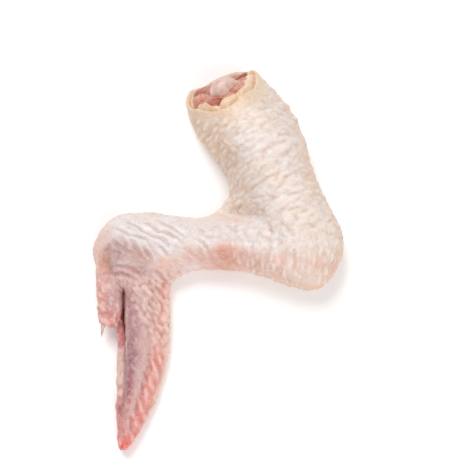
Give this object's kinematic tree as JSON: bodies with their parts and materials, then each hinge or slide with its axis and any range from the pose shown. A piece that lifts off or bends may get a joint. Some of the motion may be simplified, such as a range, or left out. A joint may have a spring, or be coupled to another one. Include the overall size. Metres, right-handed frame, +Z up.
{
  "type": "raw chicken wing",
  "caption": "Whole raw chicken wing lying on its underside, folded at elbow and wrist, with drumette, flat, thumb and tip, and the bone end showing in the shoulder cut.",
  "frame": {"origin": "bottom centre of the bounding box, on the table the wing lies on", "axes": "+Z up, away from the table; -Y towards the fingertip; +X towards the elbow"},
  "size_m": [0.1002, 0.1559, 0.032],
  "materials": {
    "skin": "moist, finely creased",
    "bone": "moist, smooth"
  },
  "bodies": {
    "root": {"wing": "skin", "arm_bone": "bone"}
  },
  "joints": []
}
